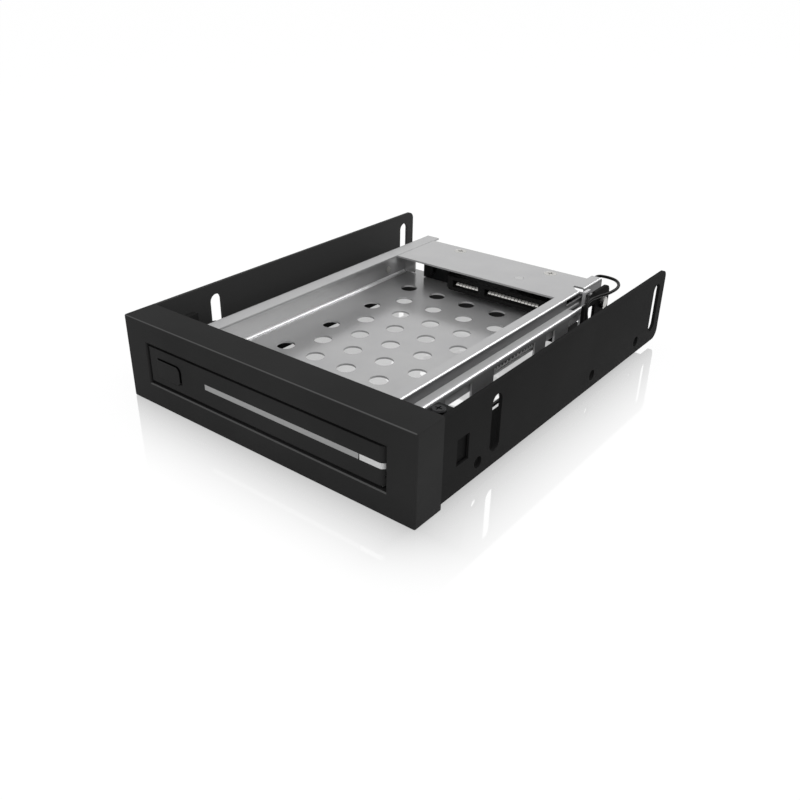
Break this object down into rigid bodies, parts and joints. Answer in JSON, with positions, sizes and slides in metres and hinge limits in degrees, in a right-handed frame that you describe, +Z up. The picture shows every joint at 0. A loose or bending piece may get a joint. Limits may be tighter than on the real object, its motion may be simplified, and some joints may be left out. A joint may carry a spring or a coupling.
{
  "type": "hot swap drive cage",
  "caption": "Bay frame with black side bracket and folded steel tray that takes one small drive behind a hinged front door with a push button and a lever ejector",
  "frame": {"origin": "middle of the footprint, on the underside of the front bezel", "axes": "+X to the right seen from the front, +Y from the bezel to the rear, +Z up"},
  "size_m": [0.1016, 0.132, 0.0254],
  "materials": {
    "black_plastic": "fine satin moulded black",
    "black_paint": "matt black powder coat",
    "sheet_steel": "bright zinc plated sheet, folded and punched",
    "pin_steel": "plain turned steel",
    "spring_steel": "drawn spring wire",
    "bright_screws": "nickel plated cross recess screws",
    "black_screws": "black oxide cross recess screws",
    "light_guide": "clear satin light guide, unlit and grey",
    "led_lens": "clear moulded lens",
    "board_mask": "black solder mask",
    "connector_plastic": "black moulded connector plastic",
    "natural_plastic": "black acetal",
    "contact_metal": "gold flashed spring contacts",
    "lead_jacket": "soft black lead insulation"
  },
  "bodies": {
    "cage": {"front_bezel": "black_plastic", "hinge_pin": "pin_steel", "status_led": "led_lens", "led_lead": "lead_jacket", "mounting_bracket": "black_paint", "drive_tray": "sheet_steel", "channel_cover": "sheet_steel", "return_spring": "spring_steel", "lever_pivot": "pin_steel", "backplane_board": "board_mask", "board_holder": "sheet_steel", "board_screws": "bright_screws", "drive_connector": "connector_plastic", "drive_contacts": "contact_metal", "data_header": "connector_plastic", "power_header": "connector_plastic", "bridge_screws": "bright_screws", "lug_screws": "black_screws", "tray_standoff": "pin_steel", "bezel_screws": "black_screws", "tray_screws": "bright_screws"},
    "door": {"door": "black_plastic", "door_back_cover": "black_plastic", "door_screws": "black_screws", "light_strip": "light_guide", "led_window": "light_guide", "button_spring": "spring_steel"},
    "button": {"eject_button": "black_plastic"},
    "latch": {"latch_bolt": "natural_plastic"},
    "slide": {"ejector_slide": "sheet_steel"},
    "lever": {"ejector_lever": "sheet_steel"}
  },
  "joints": [
    {"name": "door_hinge", "type": "hinge", "parent": "cage", "child": "door", "pos_m": [0.04, -0.0638, 0.01315], "axis": [0, 0, 1], "range_deg": [0, 90]},
    {"name": "button_press", "type": "slide", "parent": "door", "child": "button", "axis": [0, 1, 0], "range_m": [0, 0.0015], "stiffness_N_per_m": 300, "deforming": ["button_spring"]},
    {"name": "latch_slide", "type": "slide", "parent": "door", "child": "latch", "axis": [1, 0, 0], "range_m": [0, 0.0015]},
    {"name": "ejector_travel", "type": "slide", "parent": "cage", "child": "slide", "axis": [0, -1, 0], "range_m": [0, 0.0071], "deforming": ["return_spring"]},
    {"name": "lever_swing", "type": "hinge", "parent": "cage", "child": "lever", "pos_m": [0.011, 0.0431, 0.0179], "axis": [0, 0, -1], "range_deg": [0, 17.9]}
  ],
  "couplings": [
    {"joint": "latch_slide", "follows": "button_press", "ratio": 1},
    {"joint": "ejector_travel", "follows": "door_hinge", "m_per_rad": 0.0045016},
    {"joint": "lever_swing", "follows": "door_hinge", "ratio": 0.19758}
  ]
}
